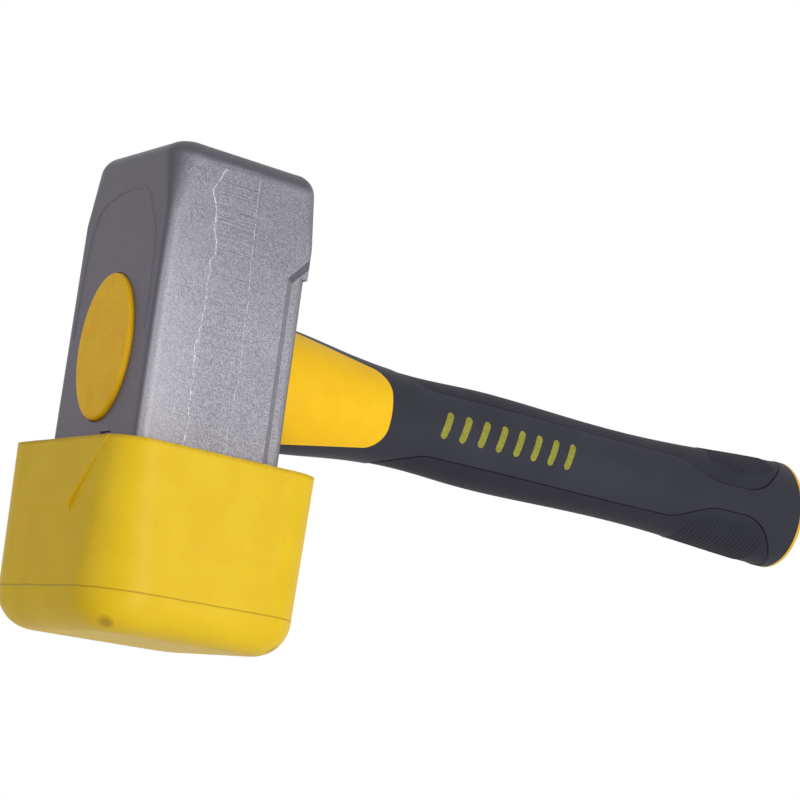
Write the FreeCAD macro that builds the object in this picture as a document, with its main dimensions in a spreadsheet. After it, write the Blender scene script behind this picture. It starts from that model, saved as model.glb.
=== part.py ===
import FreeCAD, Part

import os
import re

import Sketcher

Vector = FreeCAD.Vector
Rotation = FreeCAD.Rotation
Placement = FreeCAD.Placement

# A club hammer with a push-on soft cap, in millimetres.
# +Z runs up the head, +X runs out along the handle, and the origin is the middle of the
# cap's flat lower face, on which the hammer stands.

# ---------------------------------------------------------------- driving dimensions

SIZES = {
    # forged head: a square block whose front corners open out towards both striking faces
    "head_width": 46.5,
    "head_length": 112.6,
    "corner_middle": 3.2,
    "corner_end": 9.4,
    "corner_back": 2.0,
    "corner_spare": 0.8,
    "corner_taper": 36.0,
    "face_edge": 6.0,
    # rebate along the two corners on the handle's side, with a sloping border
    "rebate_width": 7.3,
    "rebate_depth": 1.2,
    "rebate_length": 52.0,
    "rebate_ramp": 8.0,
    "rebate_slope": 2.2,
    "rebate_corner": 3.6,
    "rebate_crease": 0.05,
    # eye through the head: front mouth, narrowest place and rear mouth
    "eye_front_height": 41.1,
    "eye_front_width": 27.1,
    "eye_waist_height": 34.0,
    "eye_waist_width": 23.0,
    "eye_waist_reach": 5.0,
    "eye_rear_height": 35.0,
    "eye_rear_width": 24.0,
    "bond_gap": 0.4,
    "bond_fit": 0.05,
    # wedge glued and driven into the end of the tang
    "wedge_flange": 5.0,
    "wedge_proud": 1.4,
    "wedge_rim": 1.1,
    "wedge_gap": 0.25,
    "wedge_depth": 24.0,
    "wedge_height": 22.0,
    "wedge_root": 5.0,
    "wedge_tip": 1.6,
    # push-on cap
    "cap_height": 49.4,
    "cap_floor": 19.8,
    "cap_rim_width": 64.6,
    "cap_rim_corner": 11.0,
    "cap_seam_width": 65.4,
    "cap_seam_corner": 15.1,
    "cap_seam_height": 10.5,
    "cap_edge": 10.1,
    "socket_gap": 0.2,
    # raised tab on the cap's front wall, flush at the rim and proud at its foot
    "tab_height": 17.5,
    "tab_rim_left": 15.5,
    "tab_rim_right": 24.5,
    "tab_foot_left": 11.5,
    "tab_foot_right": 10.8,
    "tab_proud": 1.2,
    "tab_ramp": 2.9,
    "tab_root": 3.0,
    # shallow recess in the head's front face, half hidden by the cap's rim
    "mark_width": 5.8,
    "mark_height": 6.0,
    "mark_depth": 0.8,
    "mark_offset": 6.6,
    "mark_rise": 3.4,
    # layers of the handle, measured in from its outer surface
    "pad_step": 0.25,
    "pad_depth": 1.7,
    "pad_gap": 0.2,
    "shell_wall": 3.2,
    # part of the core's neck that the shell leaves bare
    "window_end": 65.0,
    "window_front_height": 34.8,
    "window_rear_height": 21.4,
    "window_corner": 7.0,
    # soft pads along the top and the bottom of the grip, each with a broad lobe at the butt
    "pad_start": 67.0,
    "pad_nose": 14.0,
    "pad_spacing": 19.2,
    "pad_nose_corner": 12.0,
    "lobe_back": 53.4,
    "lobe_slope": 15.0,
    "lobe_spacing": 8.2,
    "lobe_length": 20.0,
    "lobe_corner": 18.0,
    "pad_margin": 1.6,
    # raised bars of the core that show through slots in the shell
    "bar_count": 8,
    "bar_start": 85.0,
    "bar_pitch": 6.9,
    "bar_width": 2.4,
    "bar_height": 8.2,
    "bar_lean": 1.6,
    # stiffening rod, damping sleeve and end cap
    "rod_radius": 5.0,
    "rod_clearance": 2.5,
    "spigot_length": 12.4,
    "sleeve_start": 30.0,
    "sleeve_length": 30.0,
    "sleeve_wall": 2.6,
    "butt_rim": 1.7,
    "butt_edge": 0.8,
    "butt_crown": 1.2,
    "crown_margin": 2.4,
    # height of the handle's section at each station, from the head to the butt
    "root_height": 36.1,
    "neck_height": 32.4,
    "waist_height": 28.3,
    "palm_height": 30.0,
    "hold_height": 29.1,
    "swell_height": 32.1,
    "butt_height": 35.8,
    # its thickness
    "root_thickness": 29.0,
    "neck_thickness": 26.0,
    "waist_thickness": 23.4,
    "palm_thickness": 24.4,
    "hold_thickness": 24.0,
    "swell_thickness": 26.4,
    "butt_thickness": 29.0,
    # how far its middle lies above the middle of the eye near the butt
    "swell_rise": 0.3,
    "butt_rise": 0.6,
    # and its distance from the head's axis
    "neck_reach": 48.0,
    "waist_reach": 75.0,
    "palm_reach": 100.0,
    "hold_reach": 145.0,
    "swell_reach": 200.0,
    "butt_reach": 235.1,
}

# Places that follow from the driving dimensions.
EYE_LEVEL = "(cap_floor + head_length / 2)"
HEAD_FACE = "(head_width / 2)"
FLANGE_SEAT = f"(wedge_flange - {HEAD_FACE})"
ROD_START = f"({FLANGE_SEAT} + wedge_depth + rod_clearance)"
ROD_END = "(butt_reach - spigot_length)"
LOBE_START = "(butt_reach - lobe_back)"
PAD_END = "(butt_reach - pad_margin)"

doc = FreeCAD.newDocument("club_hammer")
sheet = doc.addObject("Spreadsheet::Sheet", "Sizes")
for row, (alias, number) in enumerate(SIZES.items(), start=1):
    sheet.set(f"A{row}", alias)
    sheet.set(f"B{row}", str(number))
    sheet.setAlias(f"B{row}", alias)
doc.recompute()

# ---------------------------------------------------------------- helpers


def spelled(expression):
    """The expression with the sheet's name written in front of each of its sizes."""
    return re.sub(r"[a-z_]+", lambda word: "Sizes." + word.group(), str(expression))


def size(expression):
    """The present value of an expression, for shapes that are drawn before they are tied."""
    return float(sheet.evalExpression(spelled(expression)))


def tie(item, **expressions):
    """Bind properties of an object to the sheet; Base_x stands for Placement.Base.x."""
    for name, expression in expressions.items():
        path = "Placement.Base." + name[-1] if name.startswith("Base_") else name
        item.setExpression(path, spelled(expression))
    return item


def add(kind, name, **expressions):
    return tie(doc.addObject(kind, name), **expressions)


def boolean(kind, name, base, tool):
    """Part::Cut or Part::Common of two objects."""
    item = doc.addObject(kind, name)
    item.Base = base
    item.Tool = tool
    return item


def fuse(name, *pieces):
    item = doc.addObject("Part::MultiFuse", name)
    item.Shapes = list(pieces)
    return item


def new_body(name):
    return doc.addObject("PartDesign::Body", name)


def plane(body, role):
    return next(item for item in body.Origin.OriginFeatures if item.Role == role)


def new_sketch(body, name, role, level="0"):
    sketch = body.newObject("Sketcher::SketchObject", name)
    sketch.AttachmentSupport = [(plane(body, role), "")]
    sketch.MapMode = "FlatFace"
    sketch.setExpression("AttachmentOffset.Base.z", spelled(level))
    return sketch


def dimension(sketch, name, expression, *constraint):
    """Add one named dimension to a sketch and tie it to the sheet."""
    index = sketch.addConstraint(Sketcher.Constraint(*constraint, size(expression)))
    sketch.renameConstraint(index, name)
    sketch.setExpression("Constraints." + name, spelled(expression))


def rounded_square(body, name, level, width, corner, back=None):
    """A square with rounded corners about the vertical axis; back is the radius on the +X side."""
    sketch = new_sketch(body, name, "XY_Plane", level)
    half = size(width) / 2
    back = back or corner
    first = size(corner)
    start = Vector(first - half, -half, 0)
    for (x, y), rounding in zip(((1, -1), (1, 1), (-1, 1), (-1, -1)), (back, back, corner, corner)):
        radius = size(rounding)
        centre = Vector(x, y, 0) * (half - radius)
        leaving = Vector(-y, x, 0)
        entering = (Vector(x, y, 0) - leaving) / 2
        onward = (Vector(x, y, 0) + leaving) / 2
        finish = centre + entering * radius
        bend = centre + Vector(x, y, 0).normalize() * radius
        sketch.addGeometry(Part.LineSegment(start, finish), False)
        start = centre + onward * radius
        sketch.addGeometry(Part.Arc(finish, bend, start), False)
    for line in (0, 2, 4, 6):
        sketch.addConstraint(Sketcher.Constraint("Tangent", line, 2, line + 1, 1))
        sketch.addConstraint(Sketcher.Constraint("Tangent", line + 1, 2, (line + 2) % 8, 1))
        sketch.addConstraint(Sketcher.Constraint("Vertical" if line % 4 else "Horizontal", line))
    sketch.addConstraint(Sketcher.Constraint("Equal", 1, 3))
    sketch.addConstraint(Sketcher.Constraint("Equal", 5, 7))
    dimension(sketch, "width", width, "DistanceX", 6, 1, 2, 1)
    dimension(sketch, "depth", width, "DistanceY", 0, 1, 4, 1)
    dimension(sketch, "half_width", f"({width}) / 2", "DistanceX", -1, 1, 2, 1)
    dimension(sketch, "half_depth", f"({width}) / 2", "DistanceY", -1, 1, 4, 1)
    dimension(sketch, "back", back, "Radius", 1)
    dimension(sketch, "corner", corner, "Radius", 5)
    return sketch


def polygon(body, name, role, level, corners):
    """A closed outline of straight lines, each corner placed from the origin by two sizes."""
    sketch = new_sketch(body, name, role, level)
    points = [Vector(size(across), size(up), 0) for across, up in corners]
    for index, point in enumerate(points):
        sketch.addGeometry(Part.LineSegment(point, points[(index + 1) % len(points)]), False)
    for index in range(len(points)):
        sketch.addConstraint(Sketcher.Constraint("Coincident", index, 2, (index + 1) % len(points), 1))
    for index, (across, up) in enumerate(corners):
        dimension(sketch, f"across_{index}", across, "DistanceX", -1, 1, index, 1)
        dimension(sketch, f"up_{index}", up, "DistanceY", -1, 1, index, 1)
    return sketch


def edges_where(shape, test):
    """Names of a shape's edges whose two ends and middle all pass the test."""
    names = []
    for index, edge in enumerate(shape.Edges, start=1):
        middle = edge.valueAt((edge.FirstParameter + edge.LastParameter) / 2)
        if all(test(point) for point in [vertex.Point for vertex in edge.Vertexes] + [middle]):
            names.append(f"Edge{index}")
    return names


def near(first, second):
    return abs(first - second) < 1e-4


def round_edges(body, name, base, radius, test):
    """Round the edges of a body's feature that pass the test."""
    doc.recompute()
    fillet = body.newObject("PartDesign::Fillet", name)
    fillet.Base = (base, edges_where(base.Shape, test))
    tie(fillet, Radius=radius)
    return fillet


def round_part(name, base, radius, test):
    """Round the edges of a Part object that pass the test."""
    doc.recompute()
    fillet = doc.addObject("Part::Fillet", name)
    fillet.Base = base
    numbers = [int(edge[4:]) for edge in edges_where(base.Shape, test)]
    fillet.Edges = [(number, size(radius), size(radius)) for number in numbers]
    return fillet


def oval(name, reach, rise, height, thickness):
    """An upright ellipse across the handle's axis."""
    section = add("Part::Ellipse", name, MajorRadius=f"({height}) / 2", MinorRadius=f"({thickness}) / 2")
    section.Placement = Placement(Vector(), Rotation(Vector(0, 1, 0), -90))
    return tie(section, Base_x=reach, Base_z=f"{EYE_LEVEL} + {rise}")


def loft(name, sections):
    item = doc.addObject("Part::Loft", name)
    item.Sections = sections
    item.Solid = True
    return item


def slab(name, start, length, width="3 * head_width", height="3 * head_length"):
    """A block across the handle's axis, from start along +X for the given length."""
    return add(
        "Part::Box",
        name,
        Length=length,
        Width=width,
        Height=height,
        Base_x=start,
        Base_y=f"-({width}) / 2",
        Base_z=f"{EYE_LEVEL} - ({height}) / 2",
    )


def rod(name, radius, start, length):
    """A round bar along the handle's axis."""
    bar = add("Part::Cylinder", name, Radius=radius, Height=length)
    bar.Placement = Placement(Vector(), Rotation(Vector(0, 1, 0), 90))
    return tie(bar, Base_x=start, Base_z=EYE_LEVEL)


# ---------------------------------------------------------------- head


def make_eye(name, inset):
    """The space of the eye, wide at both mouths and narrow between them, less an inset all round."""
    places = {
        "front": (f"-{HEAD_FACE}", "eye_front"),
        "waist": ("eye_waist_reach", "eye_waist"),
        "rear": (HEAD_FACE, "eye_rear"),
    }
    sections = []
    for place, (reach, alias) in places.items():
        height = f"{alias}_height - 2 * ({inset})"
        width = f"{alias}_width - 2 * ({inset})"
        sections.append(oval(f"{name}_{place}", reach, "0", height, width))
    return loft(name, sections)


def make_shaving(name, side):
    """What a rebate's outer corner loses: a bar less the round column that stays."""
    across = f"{HEAD_FACE} - rebate_corner + rebate_crease"
    aside = f"({HEAD_FACE} - rebate_depth - rebate_corner + rebate_crease)"
    length = "(rebate_length + rebate_slope)"
    bar = add(
        "Part::Box",
        name + "_bar",
        Length="2 * rebate_corner",
        Width="2 * rebate_corner",
        Height=length,
        Base_x=across,
        Base_y=f"{side}{aside}" if side == "+" else f"-{aside} - 2 * rebate_corner",
        Base_z=f"{EYE_LEVEL} - {length} / 2",
    )
    column = add(
        "Part::Cylinder",
        name + "_column",
        Radius="rebate_corner",
        Height=f"2 * {length}",
        Base_x=across,
        Base_y=f"{side}{aside}",
        Base_z=f"{EYE_LEVEL} - {length}",
    )
    return boolean("Part::Cut", name, bar, column)


def make_head():
    """The forged block, rebated along the corners beside the handle, with its eye."""
    body = new_body("forging")
    middle = EYE_LEVEL
    end = ("corner_end", "face_edge + corner_spare")
    waist = ("corner_middle", "corner_back")
    levels = {
        "lower_end": ("cap_floor", *end),
        "lower_taper": (f"{middle} - corner_taper", *waist),
        "upper_taper": (f"{middle} + corner_taper", *waist),
        "upper_end": ("cap_floor + head_length", *end),
    }
    outlines = [
        rounded_square(body, name, level, "head_width", front, back)
        for name, (level, front, back) in levels.items()
    ]
    block = body.newObject("PartDesign::AdditiveLoft", "block")
    block.Profile = outlines[-1]
    block.Sections = outlines[-2::-1]
    block.Ruled = True
    ends = (size("cap_floor"), size("cap_floor + head_length"))
    round_edges(
        body, "face_edges", block, "face_edge", lambda point: any(near(point.z, end) for end in ends)
    )
    # The rebate is a shallow dish, wider at its mouth than at its floor by the slope all round.
    outlines = []
    for name, sign in (("rebate_mouth", "+"), ("rebate_floor", "-")):
        inner = f"{HEAD_FACE} - rebate_width {'-' if sign == '+' else '+'} rebate_slope"
        outer = f"{HEAD_FACE} + rebate_depth"
        half = f"rebate_length / 2 {sign} 0.3 * rebate_slope"
        full = f"rebate_length / 2 + rebate_ramp + rebate_depth {sign} 1.7 * rebate_slope"
        corners = [
            (inner, f"{middle} - ({half})"),
            (outer, f"{middle} - ({full})"),
            (outer, f"{middle} + {full}"),
            (inner, f"{middle} + {half}"),
        ]
        level = f"{HEAD_FACE} {sign} rebate_depth"
        outlines.append(polygon(body, name, "XZ_Plane", level, corners))
    rebate = body.newObject("PartDesign::SubtractiveLoft", "rebate")
    rebate.Profile, *rebate.Sections = outlines
    rebate.Ruled = True
    doc.recompute()
    mirrored = body.newObject("PartDesign::Mirrored", "rebate_pair")
    mirrored.Originals = [rebate]
    mirrored.MirrorPlane = (plane(body, "XZ_Plane"), [""])
    body.Tip = mirrored
    mark = add(
        "Part::Box",
        "front_mark",
        Length="2 * mark_depth",
        Width="mark_width",
        Height="mark_height",
        Base_x=f"-{HEAD_FACE} - mark_depth",
        Base_y="-mark_offset - mark_width / 2",
        Base_z="cap_height + mark_rise - mark_height",
    )
    shavings = [make_shaving("left_shaving", "-"), make_shaving("right_shaving", "+")]
    cuts = fuse("head_cuts", make_eye("eye_space", "0"), mark, *shavings)
    return boolean("Part::Cut", "head", body, cuts)


# ---------------------------------------------------------------- cap


def tab_wedge(name, level, height, lower, upper, lower_proud, upper_proud):
    """A block on the cap's front wall, with its own width and proudness at each level."""
    wall = "cap_rim_width / 2"
    block = add(
        "Part::Wedge",
        name,
        Ymin="0",
        Ymax=height,
        Xmin=f"-tab_{lower}_left",
        Xmax=f"tab_{lower}_right",
        X2min=f"-tab_{upper}_left",
        X2max=f"tab_{upper}_right",
        Zmin=f"{wall} - tab_root",
        Zmax=f"{wall} + {lower_proud}",
        Z2min=f"{wall} - tab_root",
        Z2max=f"{wall} + {upper_proud}",
    )
    turned = Rotation(Vector(0, -1, 0), Vector(0, 0, 1), Vector(-1, 0, 0), "XYZ")
    block.Placement = Placement(Vector(), turned)
    return tie(block, Base_z=level)


def make_cap():
    """The soft cap: a block with a socket for the head and a raised tab on its front wall."""
    body = new_body("cap_block")
    seam = rounded_square(body, "seam", "cap_seam_height", "cap_seam_width", "cap_seam_corner")
    rim = rounded_square(body, "rim", "cap_height", "cap_rim_width", "cap_rim_corner")
    walls = body.newObject("PartDesign::AdditiveLoft", "walls")
    walls.Profile = seam
    walls.Sections = [rim]
    walls.Ruled = True
    base = body.newObject("PartDesign::Pad", "base")
    base.Profile = seam
    base.Reversed = True
    tie(base, Length="cap_seam_height")
    round_edges(body, "lower_edge", base, "cap_edge", lambda point: near(point.z, 0))
    mouth = rounded_square(
        body,
        "mouth",
        "cap_height",
        "head_width + 2 * socket_gap",
        "corner_middle + socket_gap",
        "corner_back + socket_gap",
    )
    socket = body.newObject("PartDesign::Pocket", "socket")
    socket.Profile = mouth
    tie(socket, Length="cap_height - cap_floor")
    body.Tip = socket

    # The tab is a wedge that widens towards the rim, above a ramp that leads up to its foot.
    foot = "cap_height - tab_height"
    panel = tab_wedge("tab_panel", foot, "tab_height", "foot", "rim", "tab_proud", "0")
    ramp = tab_wedge("tab_slope", f"{foot} - tab_ramp", "tab_ramp", "foot", "foot", "0", "tab_proud")
    return fuse("striking_cap", body, panel, ramp)


# ---------------------------------------------------------------- handle


def handle_loft(name, inset):
    """The handle's outer form from the head to the butt, less an inset all round."""
    places = {
        "root": (HEAD_FACE, "0"),
        "neck": ("neck_reach", "0"),
        "waist": ("waist_reach", "0"),
        "palm": ("palm_reach", "0"),
        "hold": ("hold_reach", "0"),
        "swell": ("swell_reach", "swell_rise"),
        "butt": ("butt_reach", "butt_rise"),
    }
    sections = []
    for station, (reach, rise) in places.items():
        height = f"{station}_height - 2 * ({inset})"
        thickness = f"{station}_thickness - 2 * ({inset})"
        sections.append(oval(f"{name}_{station}", reach, rise, height, thickness))
    return loft(name, sections)


def make_neck_window():
    """A prism across the handle: a trapezium from the head, with its far corners rounded."""
    wedge = add(
        "Part::Wedge",
        "window_wedge",
        Ymin="0",
        Ymax=f"window_end - {HEAD_FACE}",
        Xmin="-root_thickness",
        Xmax="root_thickness",
        X2min="-root_thickness",
        X2max="root_thickness",
        Zmin="-window_front_height / 2",
        Zmax="window_front_height / 2",
        Z2min="-window_rear_height / 2",
        Z2max="window_rear_height / 2",
    )
    wedge.Placement = Placement(Vector(), Rotation(Vector(0, 0, 1), -90))
    tie(wedge, Base_x=HEAD_FACE, Base_z=EYE_LEVEL)
    end = size("window_end")
    levels = [size(f"{EYE_LEVEL} {sign} window_rear_height / 2") for sign in "+-"]
    return round_part(
        "neck_window",
        wedge,
        "window_corner",
        lambda point: near(point.x, end) and any(near(point.z, level) for level in levels),
    )


def make_bars():
    """A row of upright round-ended bars across the handle, leaning back a little."""
    body = new_body("bars")
    sketch = new_sketch(body, "bar_outline", "XZ_Plane")
    radius = size("bar_width / 2")
    lower = Vector(size("bar_start"), size(f"{EYE_LEVEL} - (bar_height - bar_width) / 2"), 0)
    upper = lower + Vector(size("bar_lean"), size("bar_height - bar_width"), 0)
    along = (upper - lower).normalize()
    side = Vector(along.y, -along.x, 0) * radius
    sketch.addGeometry(Part.LineSegment(lower + side, upper + side), False)
    sketch.addGeometry(Part.Arc(upper + side, upper + along * radius, upper - side), False)
    sketch.addGeometry(Part.LineSegment(upper - side, lower - side), False)
    sketch.addGeometry(Part.Arc(lower - side, lower - along * radius, lower + side), False)
    for item in range(4):
        sketch.addConstraint(Sketcher.Constraint("Tangent", item, 2, (item + 1) % 4, 1))
    sketch.addConstraint(Sketcher.Constraint("Equal", 1, 3))
    dimension(sketch, "half_width", "bar_width / 2", "Radius", 1)
    dimension(sketch, "start", "bar_start", "DistanceX", -1, 1, 3, 3)
    dimension(sketch, "lean", "bar_lean", "DistanceX", 3, 3, 1, 3)
    foot = f"{EYE_LEVEL} - (bar_height - bar_width) / 2"
    dimension(sketch, "foot", foot, "DistanceY", -1, 1, 3, 3)
    dimension(sketch, "stem", "bar_height - bar_width", "DistanceY", 3, 3, 1, 3)
    bar = body.newObject("PartDesign::Pad", "bar")
    bar.Profile = sketch
    bar.SideType = "Symmetric"
    tie(bar, Length="2 * palm_thickness")
    doc.recompute()
    row = body.newObject("PartDesign::LinearPattern", "bar_row")
    row.Originals = [bar]
    row.Direction = (sketch, ["H_Axis"])
    tie(row, Occurrences="bar_count", Length="bar_pitch * (bar_count - 1)")
    body.Tip = row
    return body


def make_pad_space(name, upward, bed, gap):
    """The space of a soft pad: everything beyond its border line, less a gap, and above its bed."""
    body = new_body(name + "_side")
    sign = "+" if upward else "-"

    def height(spacing):
        return f"{EYE_LEVEL} {sign} (({spacing}) / 2 + {gap})"

    far = height("3 * butt_height")
    start = f"pad_start + {gap}"
    shoulder = f"{start} + pad_nose"
    lobe_start = f"{LOBE_START} + {gap}"
    lobe_end = f"{LOBE_START} + lobe_slope + lobe_length - {gap}"
    end = f"{PAD_END} - {gap}"
    outline = polygon(
        body,
        name + "_border",
        "XZ_Plane",
        "0",
        [
            (start, far),
            (start, height("waist_height")),
            (shoulder, height("pad_spacing")),
            (lobe_start, height("pad_spacing")),
            (f"{lobe_start} + lobe_slope", height("lobe_spacing")),
            (lobe_end, height("lobe_spacing")),
            (end, height("butt_height")),
            (end, far),
        ],
    )
    block = body.newObject("PartDesign::Pad", name + "_block")
    block.Profile = outline
    block.SideType = "Symmetric"
    tie(block, Length="3 * butt_thickness")
    shoulder_x = size(shoulder)
    nose = round_edges(
        body, name + "_nose", block, "pad_nose_corner", lambda point: near(point.x, shoulder_x)
    )
    bends = [size(lobe_start), size(f"{lobe_start} + lobe_slope"), size(lobe_end)]
    lobe = round_edges(
        body, name + "_lobe", nose, "lobe_corner", lambda point: any(near(point.x, bend) for bend in bends)
    )
    body.Tip = lobe
    return boolean("Part::Cut", name + "_space", body, bed)


def make_eye_wedge(eye_form):
    """An oval flange that closes the eye, with a rounded proud rim and a tapered tongue."""
    seat = boolean(
        "Part::Common", "flange_seat", eye_form, slab("flange_slab", f"-{HEAD_FACE}", "wedge_flange")
    )
    face = oval(
        "flange_outline",
        f"-{HEAD_FACE} - wedge_proud",
        "0",
        "eye_front_height - 2 * wedge_gap",
        "eye_front_width - 2 * wedge_gap",
    )
    disc = doc.addObject("Part::Extrusion", "flange_disc")
    disc.Base = face
    disc.DirMode = "Custom"
    disc.Dir = Vector(1, 0, 0)
    disc.Solid = True
    tie(disc, LengthFwd="wedge_proud")
    front = size(f"-{HEAD_FACE} - wedge_proud")
    rim = round_part("flange_rim", disc, "wedge_rim", lambda point: near(point.x, front))
    tongue = add(
        "Part::Wedge",
        "tongue",
        Ymin="0",
        Ymax="wedge_depth",
        Xmin="-wedge_root / 2",
        Xmax="wedge_root / 2",
        X2min="-wedge_tip / 2",
        X2max="wedge_tip / 2",
        Zmin="-wedge_height / 2",
        Zmax="wedge_height / 2",
        Z2min="-wedge_height / 2",
        Z2max="wedge_height / 2",
    )
    tongue.Placement = Placement(Vector(), Rotation(Vector(0, 0, 1), -90))
    tie(tongue, Base_x=FLANGE_SEAT, Base_z=EYE_LEVEL)
    return fuse("eye_wedge", seat, rim, tongue), tongue


def make_butt_cap():
    """The end cap: a thin oval disc with a low crown and a round spigot into the core's bore."""
    outline = oval("butt_outline", "butt_reach", "butt_rise", "butt_height", "butt_thickness")
    disc = doc.addObject("Part::Extrusion", "butt_disc")
    disc.Base = outline
    disc.DirMode = "Custom"
    disc.Dir = Vector(1, 0, 0)
    disc.Solid = True
    tie(disc, LengthFwd="butt_rim")
    face = size("butt_reach + butt_rim")
    edge = round_part("butt_edge", disc, "butt_edge", lambda point: near(point.x, face))
    crown = add(
        "Part::Ellipsoid",
        "crown",
        Radius1="butt_crown",
        Radius2="butt_height / 2 - crown_margin",
        Radius3="butt_thickness / 2 - crown_margin",
    )
    crown.Placement = Placement(Vector(), Rotation(Vector(0, 1, 0), 90))
    tie(crown, Base_x="butt_reach + butt_rim", Base_z=f"{EYE_LEVEL} + butt_rise")
    spigot = rod("spigot", "rod_radius", ROD_END, "spigot_length")
    return fuse("butt_cap", edge, crown, spigot)


def make_handle():
    """Every piece of the handle, layer by layer from the rod out to the soft pads."""
    outer = handle_loft("outer_form", "0")
    pad_face = handle_loft("pad_face_form", "pad_step")
    pad_bed = handle_loft("pad_bed_form", "pad_depth")
    core_form = handle_loft("core_form", "shell_wall")
    tang_form = make_eye("tang_form", "bond_gap")
    wedge_form = make_eye("wedge_form", "wedge_gap")

    wedge, tongue = make_eye_wedge(wedge_form)
    glass_rod = rod("glass_fibre_rod", "rod_radius", ROD_START, f"{ROD_END} - {ROD_START}")
    sleeve = boolean(
        "Part::Cut",
        "damping_sleeve",
        rod("sleeve_blank", "rod_radius + sleeve_wall", "sleeve_start", "sleeve_length"),
        rod("sleeve_bore", "rod_radius", "sleeve_start", "sleeve_length"),
    )
    seat_cut = slab("seat_cut", f"-{HEAD_FACE}", "wedge_flange")
    tang = boolean("Part::Cut", "tang", tang_form, seat_cut)
    bond_cut = fuse("bond_cut", tang_form, slab("bond_seat_cut", f"-{HEAD_FACE}", "wedge_flange"))
    bond = boolean("Part::Cut", "eye_bond", make_eye("bond_form", "bond_fit"), bond_cut)

    window = make_neck_window()
    bars = make_bars()
    shown = boolean("Part::Common", "shown_core", outer, fuse("openings", window, bars))
    hollows = fuse(
        "core_hollows",
        rod("core_bore", "rod_radius", ROD_START, f"butt_reach - {ROD_START}"),
        rod("sleeve_pocket", "rod_radius + sleeve_wall", "sleeve_start", "sleeve_length"),
        tongue,
    )
    core = boolean("Part::Cut", "handle_core", fuse("core_blank", core_form, shown, tang), hollows)

    upper_bed = make_pad_space("upper_bed", True, pad_bed, "0")
    lower_bed = make_pad_space("lower_bed", False, pad_bed, "0")
    shell_cuts = fuse("shell_cuts", core_form, window, bars, upper_bed, lower_bed)
    shell = boolean("Part::Cut", "grip_shell", outer, shell_cuts)
    upper_space = make_pad_space("upper_pad", True, pad_bed, "pad_gap")
    lower_space = make_pad_space("lower_pad", False, pad_bed, "pad_gap")
    upper_pad = boolean("Part::Common", "upper_grip_pad", pad_face, upper_space)
    lower_pad = boolean("Part::Common", "lower_grip_pad", pad_face, lower_space)
    return [core, glass_rod, sleeve, bond, wedge, shell, upper_pad, lower_pad, make_butt_cap()]


# ---------------------------------------------------------------- the whole hammer

pieces = [make_head(), make_cap()] + make_handle()
doc.recompute()

for item in doc.Objects:
    if "Invalid" in item.State or "Error" in item.State:
        raise RuntimeError(f"{item.Name} failed: {item.State}")
for piece in pieces:
    piece.Label = piece.Name
    if piece.Shape.isNull() or not piece.Shape.isValid() or not piece.Shape.Solids:
        raise RuntimeError(f"{piece.Name} has no valid solid")

os.makedirs("parts", exist_ok=True)
for piece in pieces:
    piece.Shape.exportStep(f"parts/{piece.Label}.step")
    box = piece.Shape.BoundBox
    print(
        f"{piece.Label}: {len(piece.Shape.Solids)} solid, {piece.Shape.Volume / 1000:.1f} cm3, "
        f"x {box.XMin:.1f}..{box.XMax:.1f}, y {box.YMin:.1f}..{box.YMax:.1f}, "
        f"z {box.ZMin:.1f}..{box.ZMax:.1f}"
    )
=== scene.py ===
# %% [markdown]
# # A brick hammer with a push-on cap
#
# The steel head, the soft yellow cap and the handle are already built as solid parts. Here they
# get their looks: a camera, lights, a finish for every part, and the small things that a forge or
# a mould leaves on the surface, such as scars, seam lines and ribs.

# %% Load the solid parts
import math

import bpy
from mathutils import Matrix, Vector


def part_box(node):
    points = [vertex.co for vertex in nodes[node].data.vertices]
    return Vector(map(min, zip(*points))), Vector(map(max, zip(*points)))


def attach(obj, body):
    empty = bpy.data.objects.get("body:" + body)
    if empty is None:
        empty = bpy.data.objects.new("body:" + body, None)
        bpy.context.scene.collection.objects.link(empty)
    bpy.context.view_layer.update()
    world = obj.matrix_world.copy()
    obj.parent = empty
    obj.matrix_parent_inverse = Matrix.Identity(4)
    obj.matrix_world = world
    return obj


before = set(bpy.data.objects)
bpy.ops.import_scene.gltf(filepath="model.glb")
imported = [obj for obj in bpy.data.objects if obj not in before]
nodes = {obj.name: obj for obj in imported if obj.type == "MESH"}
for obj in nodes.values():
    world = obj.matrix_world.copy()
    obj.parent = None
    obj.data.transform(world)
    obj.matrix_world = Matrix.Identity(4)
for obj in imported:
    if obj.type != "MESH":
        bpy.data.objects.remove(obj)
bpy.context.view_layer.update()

MM = 0.001
head_low, head_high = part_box("head")
cap_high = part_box("striking_cap")[1]
eye_level = (head_low.z + head_high.z) / 2
print("parts:", sorted(nodes))
print("the middle of the eye is", round(eye_level / MM, 1), "mm above the floor")

# %% [markdown]
# ## Helpers
#
# Colours are written as the hex values that a screen shows. Blender calculates with linear light,
# so one function turns them. Another adds a node to any tree, gives it its settings and connects
# its inputs. With these two, a material reads almost like a list.

# %% A colour from its hex value
def colour(code):
    """The linear red, green, blue and alpha of a screen colour such as "#efc937"."""
    channels = [int(code[i : i + 2], 16) / 255 for i in (1, 3, 5)]
    linear = [c / 12.92 if c <= 0.04045 else ((c + 0.055) / 1.055) ** 2.4 for c in channels]
    return (*linear, 1.0)


print("middle grey is", round(colour("#808080")[0], 3), "in linear light")

# %% A node with its settings and inputs
def add_node(tree, kind, inputs=None, **settings):
    """Add one node; inputs maps a socket's name or number to a value or a node's output."""
    made = tree.nodes.new(kind)
    for name, value in settings.items():
        setattr(made, name, value)
    for socket, value in (inputs or {}).items():
        if isinstance(value, bpy.types.NodeSocket):
            tree.links.new(value, made.inputs[socket])
        else:
            made.inputs[socket].default_value = value
    return made


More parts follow.
